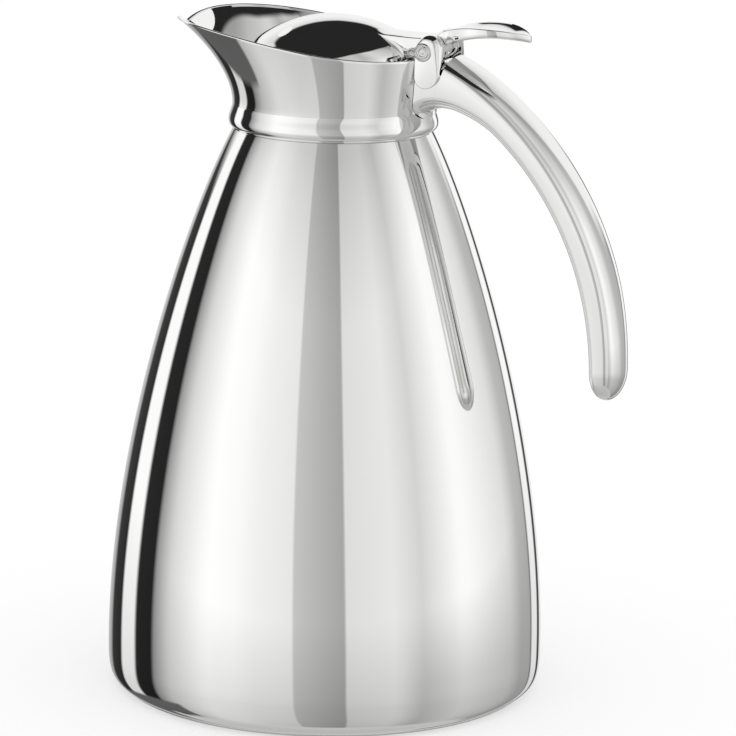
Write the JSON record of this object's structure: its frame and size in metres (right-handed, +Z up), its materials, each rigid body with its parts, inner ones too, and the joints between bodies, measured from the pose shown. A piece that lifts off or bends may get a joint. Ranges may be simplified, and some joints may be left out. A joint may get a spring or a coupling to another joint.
{
  "type": "insulated jug",
  "caption": "Double-wall steel serving jug with a spouted collar, an open cast handle and a domed lid on a thumb lever.",
  "frame": {"origin": "centre of the ring the jug stands on, on the table", "axes": "+Z up, +X towards the handle, -X towards the spout"},
  "size_m": [0.157, 0.13, 0.2015],
  "materials": {
    "polished_steel": "mirror polished stainless sheet",
    "polished_casting": "mirror polished cast stainless",
    "satin_steel": "satin stainless",
    "plain_steel": "turned stainless",
    "silicone": "soft translucent white silicone",
    "copper": "bright copper foil",
    "getter_alloy": "sintered grey",
    "solder": "dull solder",
    "white_plastic": "food-grade polypropylene",
    "foam": "rigid foam"
  },
  "bodies": {
    "jug": {"base_cover": "satin_steel", "shell_base": "satin_steel", "vacuum_plug": "solder", "getter": "getter_alloy", "outer_shell": "polished_steel", "copper_foil": "copper", "inner_flask": "satin_steel", "neck_ring": "polished_steel", "collar_seal": "silicone", "spout_collar": "polished_steel", "mouth_gasket": "silicone", "mouth_ring": "satin_steel", "handle_plate": "plain_steel", "handle_screws": "plain_steel", "handle": "polished_casting", "hinge_saddle": "polished_casting", "hinge_pin": "plain_steel", "lid_spring": "plain_steel"},
    "lid": {"lid_lever": "polished_casting", "arm_pin": "plain_steel", "lid_dome": "polished_steel", "lid_screws": "plain_steel", "lid_insulation": "foam", "lid_liner": "white_plastic", "lid_seal": "silicone"}
  },
  "joints": [
    {"name": "lid_hinge", "type": "hinge", "parent": "jug", "child": "lid", "pos_m": [0.0315, 0, 0.1937], "axis": [0, 1, 0], "range_deg": [0, 32], "stiffness_Nm_per_rad": 0.02, "springref_deg": -28.65}
  ]
}
